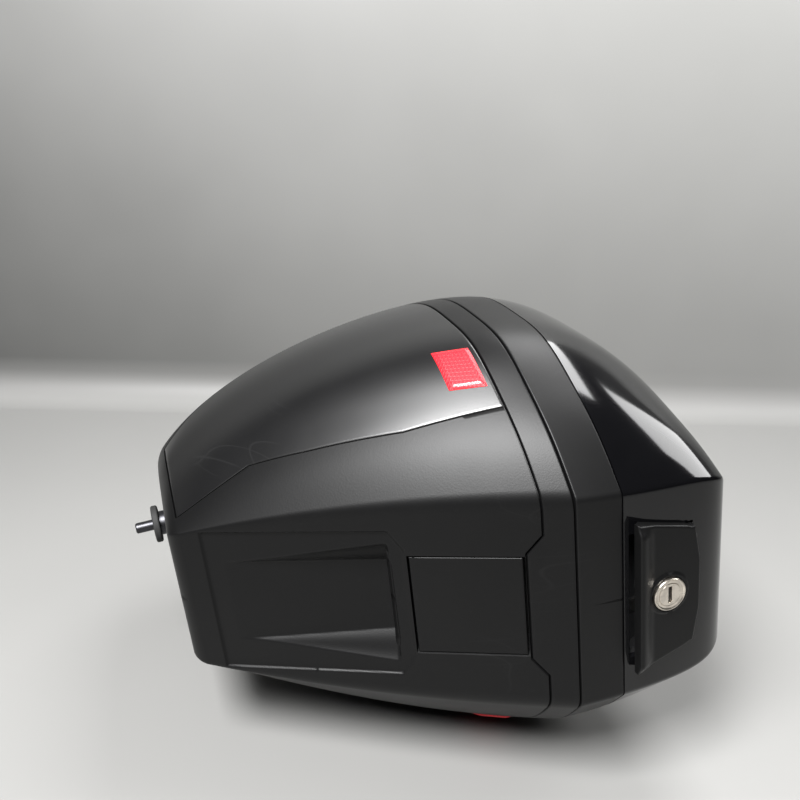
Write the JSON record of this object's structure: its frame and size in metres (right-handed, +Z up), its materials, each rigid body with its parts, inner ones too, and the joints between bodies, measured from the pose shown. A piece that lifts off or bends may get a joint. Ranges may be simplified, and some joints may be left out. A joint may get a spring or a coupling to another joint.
{
  "type": "motorcycle top case",
  "caption": "Hard-shell motorcycle top case with egg-shaped plan, gloss lid, keyed latch lever, rack-release flap, side reflectors and a mounting peg underneath.",
  "frame": {"origin": "shoulder of the mounting peg under the case, on the peg's axis, where its free end starts", "axes": "+Z up towards the lid, -Y to the rear (lock side), +Y to the front (hinge side), X across the case"},
  "size_m": [0.2992, 0.3885, 0.359],
  "materials": {
    "grained_black": "fine moulded grain",
    "satin_black": "satin",
    "piano_black": "high gloss",
    "red_lens": "clear red prism lens",
    "soft_rubber": "matt",
    "zinc_steel": "zinc plated",
    "lock_nickel": "nickel plated",
    "inner_plastic": "plain moulded"
  },
  "bodies": {
    "base": {"base_shell": "grained_black", "base_rim_band": "grained_black", "side_cover_left": "satin_black", "side_cover_right": "satin_black", "reflector_left": "red_lens", "reflector_right": "red_lens", "floor_mat": "soft_rubber", "rim_seal": "soft_rubber", "mounting_peg": "zinc_steel", "peg_rubber_flange": "soft_rubber", "peg_nut": "zinc_steel", "rack_tongue_pockets": "inner_plastic", "floor_screws": "zinc_steel", "hinge_base_brackets": "inner_plastic", "hinge_base_screws": "zinc_steel", "hinge_pins": "zinc_steel", "latch_striker": "zinc_steel", "release_housing": "inner_plastic", "flap_pin": "zinc_steel", "rack_bolt_guide": "inner_plastic"},
    "lid": {"lid_shell": "grained_black", "lid_gloss_cover": "piano_black", "hinge_lid_leaves": "inner_plastic", "hinge_lid_screws": "zinc_steel", "lever_pocket": "inner_plastic", "lever_pin": "zinc_steel", "lever_spring": "zinc_steel"},
    "lever": {"latch_lever": "grained_black", "lock_housing": "inner_plastic", "lock_bezel": "lock_nickel"},
    "lock": {"lock_plug": "lock_nickel", "lock_cam": "zinc_steel"},
    "hook": {"latch_hook": "zinc_steel"},
    "flap": {"release_flap": "grained_black"},
    "bolt": {"rack_bolt": "zinc_steel"}
  },
  "joints": [
    {"name": "lid_hinge", "type": "hinge", "parent": "base", "child": "lid", "pos_m": [0, 0.132, 0.226], "axis": [-1, 0, 0], "range_deg": [0, 80]},
    {"name": "lever_hinge", "type": "hinge", "parent": "lid", "child": "lever", "pos_m": [0, -0.2435, 0.298], "axis": [-1, 0, 0], "range_deg": [0, 40], "stiffness_Nm_per_rad": 0.15, "springref_deg": -11.46},
    {"name": "lock_turn", "type": "hinge", "parent": "lever", "child": "lock", "pos_m": [0, -0.2488, 0.279], "axis": [0, -1, 0], "range_deg": [0, 90]},
    {"name": "hook_slide", "type": "slide", "parent": "lid", "child": "hook", "axis": [0, 1, 0], "range_m": [0, 0.006]},
    {"name": "flap_hinge", "type": "hinge", "parent": "base", "child": "flap", "pos_m": [0, -0.18926, 0.14613], "axis": [1, 0, 0], "range_deg": [0, 35], "stiffness_Nm_per_rad": 0.05, "springref_deg": -14.32},
    {"name": "bolt_slide", "type": "slide", "parent": "base", "child": "bolt", "axis": [0, -1, 0], "range_m": [0, 0.009]}
  ],
  "couplings": [
    {"joint": "hook_slide", "follows": "lever_hinge", "m_per_rad": 0.00859},
    {"joint": "bolt_slide", "follows": "flap_hinge", "m_per_rad": 0.0147}
  ]
}
